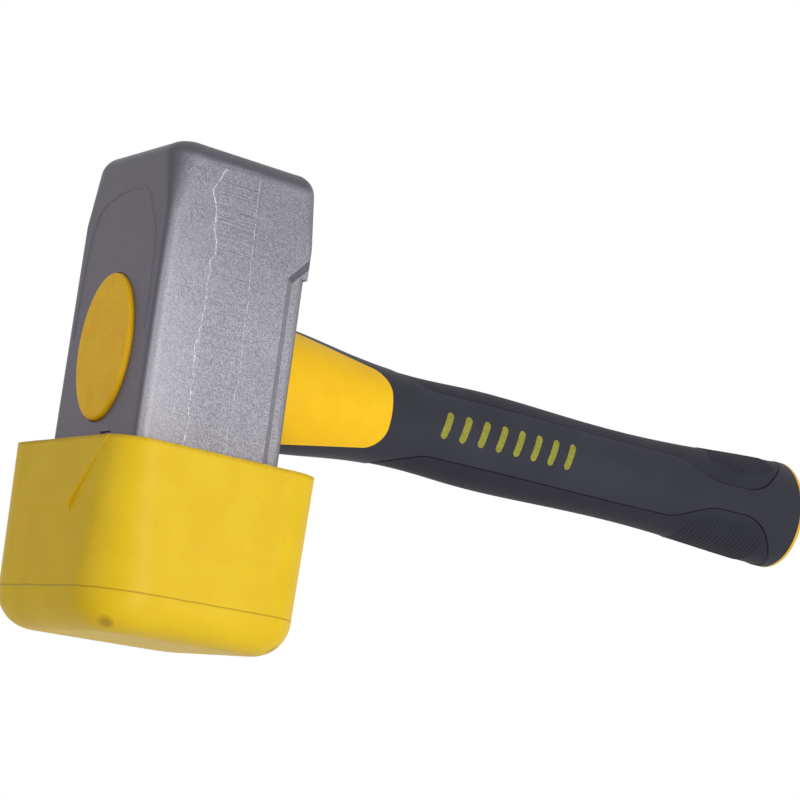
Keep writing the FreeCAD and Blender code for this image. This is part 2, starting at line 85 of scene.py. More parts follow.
# %% [markdown]
# ## The camera
#
# The hammer is seen from in front of the eye's plug, a little from below, with a long lens that
# keeps its edges almost parallel. The camera is also rolled, which sets the head at a slant. Its
# three directions are worked out from the two angles and the roll.

# %% Place the camera
azimuth, rise, roll = (math.radians(angle) for angle in (36.67, 10.0, 7.37))
forward = Vector(
    (math.sin(azimuth) * math.cos(rise), math.cos(azimuth) * math.cos(rise), math.sin(rise))
)
level_right = Vector((math.cos(azimuth), -math.sin(azimuth), 0))
level_up = level_right.cross(forward)
right = math.cos(roll) * level_right + math.sin(roll) * level_up
up = math.cos(roll) * level_up - math.sin(roll) * level_right

lens = bpy.data.cameras.new("long_lens")
lens.lens = 99.0
lens.sensor_width = 36.0
lens.clip_start = 0.01
lens.dof.use_dof = False
camera = bpy.data.objects.new("camera", lens)
bpy.context.scene.collection.objects.link(camera)
place = Vector((-304.48, -511.03, -106.0)) * MM + Vector((0, 0, eye_level))
turn = Matrix((right, up, -forward)).transposed().to_4x4()
camera.matrix_world = Matrix.Translation(place) @ turn
bpy.context.scene.camera = camera
print("the camera is", round(place.length, 3), "m from the foot of the hammer")

# %% [markdown]
# ## Light, floor and background
#
# A soft lamp beside the camera lights the cheeks, a weaker one fills the front from the left,
# and a third stands in for the light that a white table throws back from below.
# The world gives the rest and is white where the camera or a reflection sees it. The floor shows
# only to the camera and only from above, so a low camera still sees the foot of the cap. It takes
# the hammer's shadow close by and fades to the white of the world further out, as a studio's
# curved paper does, so no horizon cuts through the picture.

# %% Three soft lamps
def soft_lamp(name, direction, distance, width, power):
    """A square lamp that looks at the middle of the hammer."""
    data = bpy.data.lights.new(name, "AREA")
    data.shape = "SQUARE"
    data.size = width
    data.energy = power
    lamp = bpy.data.objects.new(name, data)
    bpy.context.scene.collection.objects.link(lamp)
    aim = Vector((0.06, 0, eye_level))
    away = Vector(direction).normalized()
    turned = away.to_track_quat("Z", "Y").to_matrix().to_4x4()
    lamp.matrix_world = Matrix.Translation(aim + away * distance) @ turned
    return lamp


soft_lamp("key_lamp", (0.08, -0.99, -0.06), 1.0, 0.55, 5.4)
soft_lamp("fill_lamp", (-0.98, -0.05, 0.12), 1.2, 0.8, 2.1)
soft_lamp("table_lamp", (0.10, -0.72, -0.69), 1.2, 0.9, 2.7)
print("lamps:", [item.name for item in bpy.data.lights])

# %% A world that is white to the eye and softer to the touch
felt = 0.34
world = bpy.data.worlds.new("studio_world")
bpy.context.scene.world = world
world.use_nodes = True
tree = world.node_tree
tree.nodes.clear()
ray = add_node(tree, "ShaderNodeLightPath").outputs
seen = add_node(
    tree, "ShaderNodeMath", {0: ray["Is Camera Ray"], 1: ray["Is Glossy Ray"]}, operation="MAXIMUM"
)
shown = add_node(
    tree, "ShaderNodeMath", {0: seen.outputs[0], 1: ray["Is Transmission Ray"]}, operation="MAXIMUM"
)
strength = add_node(
    tree, "ShaderNodeMapRange", {"Value": shown.outputs[0], "To Min": felt, "To Max": 1.0}
)
backdrop = add_node(
    tree, "ShaderNodeBackground", {"Color": colour("#ffffff"), "Strength": strength.outputs[0]}
)
add_node(tree, "ShaderNodeOutputWorld", {"Surface": backdrop.outputs[0]})
print("world strength on the object:", felt)

# %% A floor that shows only from above
floor_material = bpy.data.materials.new("pale_studio_floor")
floor_material.use_nodes = True
tree = floor_material.node_tree
shader = tree.nodes["Principled BSDF"]
shader.inputs["Base Color"].default_value = colour("#b4b4b5")
shader.inputs["Roughness"].default_value = 0.9
shader.inputs["Emission Color"].default_value = colour("#ffffff")
shader.inputs["Emission Strength"].default_value = 0.62
clear = add_node(tree, "ShaderNodeBsdfTransparent")
above = add_node(
    tree,
    "ShaderNodeMath",
    {0: 1.0, 1: add_node(tree, "ShaderNodeNewGeometry").outputs["Backfacing"]},
    operation="SUBTRACT",
)
watched = add_node(
    tree,
    "ShaderNodeMath",
    {0: above.outputs[0], 1: add_node(tree, "ShaderNodeLightPath").outputs["Is Camera Ray"]},
    operation="MULTIPLY",
)

centre = add_node(tree, "ShaderNodeTexCoord").outputs["Object"]
away = add_node(tree, "ShaderNodeVectorMath", {0: centre}, operation="LENGTH").outputs["Value"]
far = add_node(
    tree,
    "ShaderNodeMapRange",
    {"Value": away, "From Min": 0.35, "From Max": 0.8},
    interpolation_type="SMOOTHSTEP",
)
paler = add_node(
    tree,
    "ShaderNodeMapRange",
    {"Value": away, "From Min": 0.5, "From Max": 2.4, "To Min": 0.83, "To Max": 1.0},
    interpolation_type="SMOOTHSTEP",
)
haze = add_node(
    tree, "ShaderNodeEmission", {"Color": colour("#ffffff"), "Strength": paler.outputs[0]}
)
ground = add_node(
    tree, "ShaderNodeMixShader", {0: far.outputs[0], 1: shader.outputs[0], 2: haze.outputs[0]}
)
mixed = add_node(
    tree,
    "ShaderNodeMixShader",
    {0: watched.outputs[0], 1: clear.outputs[0], 2: ground.outputs[0]},
)
tree.links.new(mixed.outputs[0], tree.nodes["Material Output"].inputs["Surface"])

corners = [(-3, -3, 0), (3, -3, 0), (3, 3, 0), (-3, 3, 0)]
floor_mesh = bpy.data.meshes.new("studio_floor")
floor_mesh.from_pydata(corners, [], [(0, 1, 2, 3)])
floor_mesh.materials.append(floor_material)
floor = bpy.data.objects.new("studio_floor", floor_mesh)
bpy.context.scene.collection.objects.link(floor)
print("the floor faces", "up" if floor_mesh.polygons[0].normal.z > 0 else "down")

# %% [markdown]
# ## How each finish starts
#
# A finish begins with the Principled shader, its roughness and its gloss, and a position measured
# in millimetres on the object itself. Working in millimetres means that a noise of scale 2 makes
# spots about half a millimetre wide, and a bump height of 0.05 is a twentieth of a millimetre.

# %% Start a finish
def start_finish(name, roughness, metallic=0.0, specular=0.5):
    """A new material: its tree, its shader and the point in millimetres as one output."""
    material = bpy.data.materials.new(name)
    material.use_nodes = True
    tree = material.node_tree
    shader = tree.nodes["Principled BSDF"]
    shader.inputs["Roughness"].default_value = roughness
    shader.inputs["Metallic"].default_value = metallic
    shader.inputs["Specular IOR Level"].default_value = specular
    shader.inputs["IOR"].default_value = 1.5
    metres = add_node(tree, "ShaderNodeTexCoord").outputs["Object"]
    per_metre = 1 / MM
    point = add_node(
        tree, "ShaderNodeVectorMath", {0: metres, "Scale": per_metre}, operation="SCALE"
    )
    return material, tree, shader, point.outputs[0]


def calculate(tree, operation, *values):
    """The result of one Math node."""
    return add_node(tree, "ShaderNodeMath", dict(enumerate(values)), operation=operation).outputs[0]


def between(tree, value, low, high, first=0.0, last=1.0):
    """The value eased from first to last as it goes from low to high."""
    ranges = {"Value": value, "From Min": low, "From Max": high, "To Min": first, "To Max": last}
    return add_node(tree, "ShaderNodeMapRange", ranges, interpolation_type="SMOOTHSTEP").outputs[0]


def speckle(tree, point, scale, detail=2.0, stretch=(1, 1, 1)):
    """Noise about 1/scale millimetres wide, as a number near one half."""
    mapped = add_node(tree, "ShaderNodeMapping", {"Vector": point, "Scale": stretch}).outputs[0]
    settings = {"Vector": mapped, "Scale": scale, "Detail": detail}
    return add_node(tree, "ShaderNodeTexNoise", settings).outputs[0]


def blended(tree, factor, first, second):
    """A colour mixed between two others, each a hex value or another node's output."""
    ends = [colour(end) if isinstance(end, str) else end for end in (first, second)]
    sockets = {0: factor, 6: ends[0], 7: ends[1]}
    return add_node(tree, "ShaderNodeMix", sockets, data_type="RGBA").outputs[2]


def finish_with(tree, shader, base, height):
    """Connect the base colour and a bump whose height is in millimetres."""
    tree.links.new(base, shader.inputs["Base Color"])
    bump = add_node(tree, "ShaderNodeBump", {"Height": height, "Distance": MM, "Strength": 1.0})
    tree.links.new(bump.outputs[0], shader.inputs["Normal"])


print("finish helpers ready, with a bump distance of", MM, "m")


# %% [markdown]
# ## Lacquered forged steel
#
# The head is drop-forged: hot steel is hammered into a die, the scale is blasted off and a thin
# grey lacquer goes over it. Blasting leaves a grain that glitters a little; it is about 0.2 mm
# across and is drawn at 0.4 mm so that it shows. Down each cheek runs the band where the flash
# was sheared off, with chatter steps across it, and here and there scale has flaked off. Painted
# highlight brightens each cheek along its front edge, and painted shade dulls it near the struck
# end. The front and the back, where the eye comes out, are pressed smoother, slightly purple and
# darker, partly with painted shade, and painted shade darkens the rounded edges further.

# %% Find the cheeks and the front
steel, tree, shader, point = start_finish(
    "lacquered_forged_steel", 0.45, metallic=0.35, specular=0.4
)
split = add_node(tree, "ShaderNodeSeparateXYZ", {0: point}).outputs
normal = add_node(tree, "ShaderNodeTexCoord").outputs["Normal"]
facing = add_node(tree, "ShaderNodeSeparateXYZ", {0: normal}).outputs
sideways = calculate(tree, "ABSOLUTE", facing["X"])
front = between(tree, sideways, 0.68, 0.99)
cheek = calculate(tree, "SUBTRACT", 1.0, front)
print("the front starts where a face turns", round(math.degrees(math.acos(0.68))), "degrees off it")

# %% Colour the cheeks and the front
grain = speckle(tree, point, 2.2, detail=3.0)
glitter = between(tree, speckle(tree, point, 2.6, detail=1.0), 0.34, 0.66)
cheek_colour = blended(tree, glitter, "#838189", "#a3a1a8")
# The front's colour is darker than the cheeks' partly as painted shade; its purple tint and
# smoother grain are its own.
shaded_front_colour = blended(tree, glitter, "#635d68", "#6c6771")
base = blended(tree, front, cheek_colour, shaded_front_colour)
# The lacquer's own cloudy tone, plus painted shade that dulls the cheeks towards the struck end.
cloud = between(tree, speckle(tree, point, 0.07), 0.3, 0.7, 0.0, 0.10)
painted_top_shade = between(tree, split["Z"], 80.0, 122.0, 0.0, 0.30)
base = blended(tree, calculate(tree, "ADD", cloud, painted_top_shade), base, "#57555c")
# A painted highlight lightens each cheek along its front edge and lower down.
front_edge = between(tree, split["X"], -21.0, -2.0, 0.42, 0.0)
low = between(tree, split["Z"], 60.0, 128.0, 1.0, 0.25)
painted_cheek_highlight = calculate(tree, "MULTIPLY", calculate(tree, "MULTIPLY", front_edge, low), cheek)
base = blended(tree, painted_cheek_highlight, base, "#b6b4ba")
print("nodes for the steel's plain colours:", len(tree.nodes))

# %% Paint shade on the rounded edges, widest near the struck end
ended = between(tree, split["Z"], 92.0, 126.0, -0.68, -0.35)
turned = calculate(
    tree,
    "MAXIMUM",
    between(tree, facing["X"], 0.30, 0.82),
    between(tree, facing["X"], -0.92, ended, 1.0, 0.0),
)
shaded_corner_mask = calculate(tree, "MULTIPLY", turned, between(tree, sideways, 0.93, 0.999, 1.0, 0.0))
upright = calculate(tree, "ABSOLUTE", facing["Z"])
shaded_end_mask = between(tree, upright, 0.95, 0.999, 1.0, 0.35)
shaded_end_mask = calculate(tree, "MULTIPLY", between(tree, upright, 0.0, 0.42), shaded_end_mask)
# Painted shade on the rounded corners and on the edges that face up or down.
painted_edge_shade = calculate(tree, "MULTIPLY", calculate(tree, "MAXIMUM", shaded_corner_mask, shaded_end_mask), 0.78)
base = blended(tree, painted_edge_shade, base, "#45434c")
print("nodes with the edges:", len(tree.nodes))

# %% Cut the chatter steps into the sheared band
sheared = {"front": -8.8, "back": 3.6, "soft": 0.6}
band = calculate(
    tree,
    "MULTIPLY",
    between(
        tree, split["X"], sheared["front"] - sheared["soft"], sheared["front"] + sheared["soft"]
    ),
    between(
        tree,
        split["X"],
        sheared["back"] - sheared["soft"],
        sheared["back"] + sheared["soft"],
        1.0,
        0.0,
    ),
)
band = calculate(tree, "MULTIPLY", band, cheek)
fine = between(tree, speckle(tree, point, 1.0, stretch=(0.03, 0.03, 1.3)), 0.38, 0.62)
coarse = between(tree, speckle(tree, point, 1.0, stretch=(0.02, 0.02, 0.33)), 0.47, 0.53)
steps = calculate(tree, "MULTIPLY_ADD", coarse, 0.11, calculate(tree, "MULTIPLY", fine, 0.08))
strong = between(tree, split["Z"], 96.0, 116.0, 0.25, 1.0)
steps = calculate(tree, "MULTIPLY", calculate(tree, "MULTIPLY", steps, strong), band)
print("the sheared band is", round(sheared["back"] - sheared["front"], 1), "mm wide")

# %% Flake the scale off in a few places
bare_places = [(-14.6, 91.0, 5.0), (-16.5, 122.5, 4.5), (12.0, 106.0, 6.5), (-15.5, 112.0, 4.0)]
peeled = 0.0
for x, z, width in bare_places:
    flat = add_node(tree, "ShaderNodeCombineXYZ", {0: split["X"], 2: split["Z"]}).outputs[0]
    off = add_node(tree, "ShaderNodeVectorMath", {0: flat, 1: (x, 0, z)}, operation="DISTANCE")
    patch = between(tree, off.outputs["Value"], 0.4 * width, width, 1.0, 0.0)
    peeled = calculate(tree, "MAXIMUM", patch, peeled)
flakes = between(tree, speckle(tree, point, 0.55, detail=1.0, stretch=(1.4, 1.4, 0.7)), 0.50, 0.62)
flakes = calculate(tree, "MULTIPLY", calculate(tree, "MULTIPLY", flakes, peeled), 0.16)
relief = calculate(tree, "ADD", steps, calculate(tree, "MULTIPLY", flakes, cheek))
rough = calculate(tree, "MULTIPLY", grain, between(tree, cheek, 0.0, 1.0, 0.02, 0.15))
finish_with(tree, shader, base, calculate(tree, "ADD", relief, rough))
print("steel nodes:", len(tree.nodes))

# %% Make the steel of the scars
scar, tree, shader, point = start_finish("rubbed_forged_steel", 0.40, metallic=0.45, specular=0.5)
rubbed = between(tree, speckle(tree, point, 1.4, detail=3.0), 0.35, 0.65)
base = blended(tree, rubbed, "#8b8990", "#bab8bf")
finish_with(tree, shader, base, calculate(tree, "MULTIPLY", speckle(tree, point, 1.6), 0.15))
print("scar nodes:", len(tree.nodes))

# %% [markdown]
# ## Cast polyurethane
#
# The cap is poured as a liquid into a mould and sets to a firm, tough rubber. The eye reads it by
# its satin surface, a barely mottled yellow, a rough rim where the mould was topped up, a fine
# dark line where the two halves of the mould met, and a small brown spot at each lower corner.

# %% Make the polyurethane
urethane, tree, shader, point = start_finish("cast_polyurethane_satin", 0.50, specular=0.25)
split = add_node(tree, "ShaderNodeSeparateXYZ", {0: point}).outputs
mottle = between(tree, speckle(tree, point, 0.09, detail=3.0), 0.3, 0.7)
base = blended(tree, mottle, "#e7bf16", "#ecc51b")
pores = between(tree, speckle(tree, point, 1.1, detail=2.0), 0.60, 0.75, 0.0, 0.18)
base = blended(tree, pores, base, "#cfa41c")
rim_top = cap_high.z / MM
worn = speckle(tree, point, 0.8, detail=3.0)
near_rim = between(tree, split["Z"], rim_top - 1.3, rim_top - 0.1)
base = blended(tree, calculate(tree, "MULTIPLY", near_rim, worn), base, "#ab8518")
print("rim of the cap at", round(rim_top, 1), "mm")

# %% Draw the seam and the marks at the corners
seam_level = 10.5
wobble = calculate(tree, "MULTIPLY_ADD", speckle(tree, point, 0.25), 0.3, seam_level - 0.15)
off_seam = calculate(tree, "ABSOLUTE", calculate(tree, "SUBTRACT", split["Z"], wobble))
seam = between(tree, off_seam, 0.08, 0.26, 1.0, 0.0)
base = blended(tree, calculate(tree, "MULTIPLY", seam, 0.5), base, "#8d6d17")

side_x = calculate(tree, "ABSOLUTE", split["X"])
side_y = calculate(tree, "ABSOLUTE", split["Y"])
folded = add_node(tree, "ShaderNodeCombineXYZ", {0: side_x, 1: side_y, 2: split["Z"]}).outputs[0]
corner_mark = (25.4, 25.4, 2.6)
# Each lower corner gets a small brown spot.
corner_distance = add_node(tree, "ShaderNodeVectorMath", {0: folded, 1: corner_mark}, operation="DISTANCE")
spot = between(tree, corner_distance.outputs["Value"], 0.8, 2.9, 0.6, 0.0)
base = blended(tree, spot, base, "#8f6a1c")
waves = calculate(tree, "MULTIPLY", speckle(tree, point, 0.10, detail=1.0), 0.35)
height = calculate(tree, "MULTIPLY_ADD", speckle(tree, point, 1.4), 0.03, waves)
height = calculate(tree, "MULTIPLY_ADD", seam, -0.09, height)
finish_with(tree, shader, base, height)
print("seam at", seam_level, "mm, corner marks at", corner_mark[2], "mm")

# %% [markdown]
# ## Moulded polypropylene
#
# The core of the handle is tough yellow polypropylene, glossier at the neck than where it comes
# up through the shell as bars: those are painted over with an olive coat and rubbed by the hand.
# The plug in the eye is the same bright yellow, a little grainy, and the butt's end cap is duller.

# %% Make the core's plastic
core, tree, shader, point = start_finish("moulded_polypropylene_yellow", 0.45, specular=0.22)
split = add_node(tree, "ShaderNodeSeparateXYZ", {0: point}).outputs
mottle = between(tree, speckle(tree, point, 0.15), 0.3, 0.7)
bright = blended(tree, mottle, "#fec512", "#ffcb18")
rubbed = between(tree, speckle(tree, point, 0.9, detail=3.0), 0.35, 0.65)
olive = blended(tree, rubbed, "#8a892e", "#9c9a38")
bars_start = 70.0
base = blended(tree, between(tree, split["X"], bars_start - 2.0, bars_start), bright, olive)
height = calculate(tree, "MULTIPLY", speckle(tree, point, 1.8), 0.02)
finish_with(tree, shader, base, height)
print("the bars start beyond", bars_start, "mm")

# %% Make the plug's and the butt's plastic
plug, tree, shader, point = start_finish("moulded_polypropylene_bright_yellow", 0.46, specular=0.22)
speck = between(tree, speckle(tree, point, 1.6, detail=3.0), 0.56, 0.70, 0.0, 0.3)
tone = between(tree, speckle(tree, point, 0.12), 0.3, 0.7)
base = blended(tree, speck, blended(tree, tone, "#fdc10f", "#ffcb14"), "#c98f1d")
finish_with(tree, shader, base, calculate(tree, "MULTIPLY", speckle(tree, point, 1.3), 0.04))

butt, tree, shader, point = start_finish("moulded_polypropylene_mustard", 0.5, specular=0.25)
tone = between(tree, speckle(tree, point, 0.2), 0.3, 0.7)
base = blended(tree, tone, "#e6b41e", "#efbd26")
finish_with(tree, shader, base, calculate(tree, "MULTIPLY", speckle(tree, point, 1.5), 0.03))
print("plug and butt finishes ready")

# %% [markdown]
# ## The shell and the soft pads
#
# The blue-grey shell is moulded in a spark-eroded tool, which gives it an even matt grain too fine
# to count: the real grain is about 0.1 mm and is drawn at 0.4 mm so that it shows. The pads on top
# and below are a thermoplastic rubber, a little darker and duller, that grips the palm. Painted
# shade darkens the shell below and towards the butt, and the pads low down.

# %% Make the shell's plastic
shell, tree, shader, point = start_finish(
    "spark_textured_polypropylene_blue_grey", 0.55, specular=0.22
)
split = add_node(tree, "ShaderNodeSeparateXYZ", {0: point}).outputs
tone = between(tree, speckle(tree, point, 0.06, detail=3.0), 0.3, 0.7)
base = blended(tree, tone, "#282833", "#2e2e39")
# Painted shade darkens the shell towards the butt and on its underside.
painted_butt_shade = between(tree, split["X"], 150.0, 236.0, 0.0, 0.35)
base = blended(tree, painted_butt_shade, base, "#1c1c26")
painted_underside_shade = between(tree, split["Z"], 58.0, 72.0, 0.5, 0.0)
base = blended(tree, painted_underside_shade, base, "#1c1c26")
dust = between(tree, speckle(tree, point, 2.4, detail=2.0), 0.55, 0.75, 0.0, 0.35)
base = blended(tree, dust, base, "#393944")
finish_with(tree, shader, base, calculate(tree, "MULTIPLY", speckle(tree, point, 2.5), 0.035))
print("shell nodes:", len(tree.nodes))

# %% Make the pads' rubber
pad, tree, shader, point = start_finish("thermoplastic_rubber_charcoal", 0.66, specular=0.20)
tone = between(tree, speckle(tree, point, 0.08, detail=3.0), 0.3, 0.7)
base = blended(tree, tone, "#25252e", "#2b2b35")
split = add_node(tree, "ShaderNodeSeparateXYZ", {0: point}).outputs
# Painted shade darkens the pads low down.
painted_underside_shade = between(tree, split["Z"], 60.0, 78.0, 0.5, 0.0)
base = blended(tree, painted_underside_shade, base, "#1c1c25")
rough = speckle(tree, point, 1.7, detail=3.0)
finish_with(tree, shader, base, calculate(tree, "MULTIPLY", rough, 0.05))
print("pad nodes:", len(tree.nodes))

# %% [markdown]
# ## The hidden parts
#
# A rod of glass fibre runs inside the handle, in a rubber sleeve near the head, and a dark resin
# fills the gap round the tang. They hardly show, but a part that is opened later still wants them.

# %% Make the rod's, the sleeve's and the resin's finish
glass, tree, shader, point = start_finish("pultruded_glass_fibre", 0.4, specular=0.5)
strands = between(tree, speckle(tree, point, 1.2, detail=3.0, stretch=(0.04, 1.6, 1.6)), 0.35, 0.65)
base = blended(tree, strands, "#b9b892", "#d9d8b6")
finish_with(tree, shader, base, calculate(tree, "MULTIPLY", strands, 0.03))

sleeve, tree, shader, point = start_finish("nitrile_rubber_black", 0.75, specular=0.3)
base = blended(tree, speckle(tree, point, 0.7), "#1d1d1f", "#29292b")
finish_with(tree, shader, base, calculate(tree, "MULTIPLY", speckle(tree, point, 1.5), 0.04))

resin, tree, shader, point = start_finish("set_epoxy_resin_dark", 0.35, specular=0.5)
base = blended(tree, speckle(tree, point, 0.5, detail=3.0), "#141211", "#241e19")
finish_with(tree, shader, base, calculate(tree, "MULTIPLY", speckle(tree, point, 0.8), 0.08))
print("hidden finishes ready")

# %% Give every solid part its finish
finishes = {
    "head": steel,
    "striking_cap": urethane,
    "handle_core": core,
    "eye_wedge": plug,
    "butt_cap": butt,
    "grip_shell": shell,
    "upper_grip_pad": pad,
    "lower_grip_pad": pad,
    "glass_fibre_rod": glass,
    "damping_sleeve": sleeve,
    "eye_bond": resin,
}
for name, material in finishes.items():
    for slot in nodes[name].material_slots:
        slot.material = material
print("without a finish:", sorted(set(nodes) - set(finishes)))

# %% [markdown]
# ## Small things that follow a line
#
# A trimming press tears a ragged ridge down each side of the flash, the forging die leaves a low
# border on the front, and the cap's rim keeps a thin crust of spilt rubber. All three are a thin
# rope half sunk in the surface that wavers along a line, so one Geometry Nodes tree makes them
# all: it turns a line of points into a curve, divides it evenly, pushes the points a little with
# noise, and sweeps a small circle along it.

# %% A tree with named inputs
def start_tree(name, inputs):
    """A Geometry Nodes tree with a socket for each named input: its kind and first value."""
    tree = bpy.data.node_groups.new(name, "GeometryNodeTree")
    tree.interface.new_socket("Geometry", in_out="OUTPUT", socket_type="NodeSocketGeometry")
    for label, (kind, value) in inputs.items():
        socket = tree.interface.new_socket(label, in_out="INPUT", socket_type="NodeSocket" + kind)
        if value is not None:
            socket.default_value = value
    entry = tree.nodes.new("NodeGroupInput")
    return tree, entry.outputs


def end_tree(tree, geometry, finish):
    """Close a tree with real geometry and a finish on every face."""
    real = add_node(tree, "GeometryNodeRealizeInstances", {"Geometry": geometry}).outputs[0]
    painted = add_node(tree, "GeometryNodeSetMaterial", {"Geometry": real, "Material": finish})
    add_node(tree, "NodeGroupOutput", {"Geometry": painted.outputs[0]})


def end_with_rope(tree, curve, share, radius, finish):
    """Close a tree with a rope swept along the curve, its radius times a share at each point."""
    sized = add_node(tree, "GeometryNodeSetCurveRadius", {"Curve": curve, "Radius": share})
    ring = add_node(tree, "GeometryNodeCurvePrimitiveCircle", {"Resolution": 8, "Radius": radius})
    ends = {"Curve": sized.outputs[0], "Profile Curve": ring.outputs[0], "Fill Caps": True}
    rope = add_node(tree, "GeometryNodeCurveToMesh", ends)
    end_tree(tree, rope.outputs[0], finish)


print("tree helpers ready")


# %% A tree for a ridge that wavers along a line
ridge_tree, given = start_tree(
    "wavering_ridge",
    {
        "Line": ("Geometry", None),
        "Spacing": ("Float", 0.8 * MM),
        "Radius": ("Float", 0.5 * MM),
        "Radius Change": ("Float", 0.2),
        "Blunt Ends": ("Float", 0.0),
        "Push": ("Vector", (1, 0, 0)),
        "Waver": ("Float", 0.4 * MM),
        "Wave Length": ("Float", 4 * MM),
        "Seed": ("Float", 0.0),
        "Finish": ("Material", None),
    },
)
tree = ridge_tree
print("inputs of the ridge:", [item.name for item in tree.interface.items_tree])

# %% Divide the line and push its points
line = add_node(tree, "GeometryNodeMeshToCurve", {"Mesh": given["Line"]}).outputs[0]
even = add_node(
    tree, "GeometryNodeResampleCurve", {"Curve": line, "Length": given["Spacing"]}, mode="LENGTH"
).outputs[0]
place_now = add_node(tree, "GeometryNodeInputPosition").outputs[0]
turns = calculate(tree, "DIVIDE", 1.0, given["Wave Length"])
noise = {"Vector": place_now, "W": given["Seed"], "Scale": turns, "Detail": 2.0}
sway = add_node(tree, "ShaderNodeTexNoise", noise, noise_dimensions="4D").outputs[0]
sway = calculate(tree, "MULTIPLY", calculate(tree, "SUBTRACT", sway, 0.5), given["Waver"])
push = add_node(tree, "ShaderNodeVectorMath", {0: given["Push"], "Scale": sway}, operation="SCALE")
pushed = add_node(
    tree, "GeometryNodeSetPosition", {"Geometry": even, "Offset": push.outputs[0]}
).outputs[0]
print("nodes so far:", len(tree.nodes))

# %% Swell, taper and sweep the ridge
noise = {"Vector": place_now, "W": given["Seed"], "Scale": turns, "Detail": 3.0}
swell = add_node(tree, "ShaderNodeTexNoise", noise, noise_dimensions="4D").outputs[1]
swell = add_node(tree, "ShaderNodeSeparateXYZ", {0: swell}).outputs["Z"]
swell = calculate(tree, "MULTIPLY", calculate(tree, "SUBTRACT", swell, 0.5), given["Radius Change"])
along = add_node(tree, "GeometryNodeSplineParameter").outputs["Factor"]
to_end = calculate(tree, "MINIMUM", along, calculate(tree, "SUBTRACT", 1.0, along))
ends = {"Value": to_end, "From Min": 0.0, "From Max": 0.04, "To Min": given["Blunt Ends"]}
taper = add_node(tree, "ShaderNodeMapRange", ends).outputs[0]
width = calculate(tree, "MULTIPLY", calculate(tree, "ADD", swell, 1.0), taper)
end_with_rope(tree, pushed, width, given["Radius"], given["Finish"])
print("ridge tree nodes:", len(tree.nodes))

# %% Run a tree and keep its result
def line_object(name, lines, closed=False):
    """An object of bare edges along each list of points in millimetres."""
    points, edges = [], []
    for line in lines:
        first = len(points)
        points += [Vector(point) * MM for point in line]
        edges += [(i, i + 1) for i in range(first, len(points) - 1)]
        if closed:
            edges.append((len(points) - 1, first))
    mesh = bpy.data.meshes.new(name)
    mesh.from_pydata(points, edges, [])
    item = bpy.data.objects.new(name, mesh)
    bpy.context.scene.collection.objects.link(item)
    return item


def settle(item, tree, values, body):
    """Run the tree on an object, keep the result as its plain mesh and let it ride on a body."""
    modifier = item.modifiers.new(tree.name, "NODES")
    modifier.node_group = tree
    for socket in tree.interface.items_tree:
        if socket.in_out == "INPUT" and socket.name in values:
            modifier[socket.identifier] = values[socket.name]
    depsgraph = bpy.context.evaluated_depsgraph_get()
    made = bpy.data.meshes.new_from_object(item.evaluated_get(depsgraph), depsgraph=depsgraph)
    item.modifiers.remove(modifier)
    made.name = item.name
    item.data = made
    for polygon in made.polygons:
        polygon.use_smooth = True
    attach(item, body)
    print(item.name, "has", len(made.polygons), "faces")


# %% [markdown]
# ## The trimming scars
#
# The flash of a forging is sheared off in a press, which leaves two ragged lines down each cheek:
# a deep torn one on the front's side and a finer, straighter one on the handle's side. The second
# cheek gets the same lines mirrored about their middle, because no two tears are alike.

# %% Lines of the scars on both cheeks
torn = [
    (-8.0, 126.3), (-11.5, 119.5), (-9.5, 114.6), (-9.4, 109.1), (-8.2, 106.7), (-8.0, 102.6),
    (-9.2, 100.5), (-8.7, 97.5), (-8.9, 93.7), (-8.6, 88.8), (-8.9, 86.0), (-9.2, 80.1),
    (-10.0, 77.2), (-9.4, 71.9), (-9.1, 68.4), (-9.1, 63.9), (-9.4, 61.2), (-8.4, 58.3),
    (-9.0, 54.2), (-9.4, 48.0), (-8.6, 40.0), (-9.2, 32.0), (-9.0, 26.0),
]
straight = [
    (2.8, 126.3), (3.0, 117.0), (3.4, 109.7), (3.4, 103.2), (4.1, 96.0), (4.4, 92.4), (4.2, 85.9),
    (4.7, 78.2), (4.9, 70.5), (4.3, 67.7), (4.1, 62.2), (3.5, 56.7), (4.0, 51.8), (4.2, 44.0),
    (3.8, 35.0), (4.0, 26.0),
]
cheek_y = head_high.y / MM


def on_cheeks(line, depth):
    """The line sunk below the near cheek, and its mirror image sunk below the far one."""
    middle = sum(x for x, _ in line) / len(line)
    near_line = [(x, depth - cheek_y, z) for x, z in line]
    far_line = [(2 * middle - x, cheek_y - depth, z) for x, z in line]
    return [near_line, far_line]


scar_values = {"Wave Length": 2.4 * MM, "Spacing": 0.45 * MM, "Finish": scar}
torn_values = {"Radius": 0.63 * MM, "Radius Change": 0.8, "Waver": 1.8 * MM, "Seed": 3.0}
torn_item = line_object("torn_scars", on_cheeks(torn, 0.52))
settle(torn_item, ridge_tree, scar_values | torn_values, "hammer")
fine_values = {"Radius": 0.43 * MM, "Radius Change": 0.9, "Waver": 0.5 * MM, "Seed": 8.0}
fine_item = line_object("straight_scars", on_cheeks(straight, 0.39))
settle(fine_item, ridge_tree, scar_values | fine_values, "hammer")

# %% [markdown]
# ## The border on the front
#
# The die presses a shallow arch into the front above the eye. Its border is a low soft ridge that
# starts beside the plug, climbs and closes under the top edge.

# %% Line of the border
front_x = head_low.x / MM
arch = [
    (-18.5, 80.0), (-18.2, 92.0), (-17.7, 102.1), (-16.2, 108.0), (-13.6, 112.5), (-9.9, 119.1),
    (-4.5, 120.0), (0.8, 120.1), (6.3, 118.9), (12.9, 117.2), (16.3, 112.0), (17.6, 106.0),
    (18.2, 100.0), (18.8, 90.0), (19.0, 80.0),
]


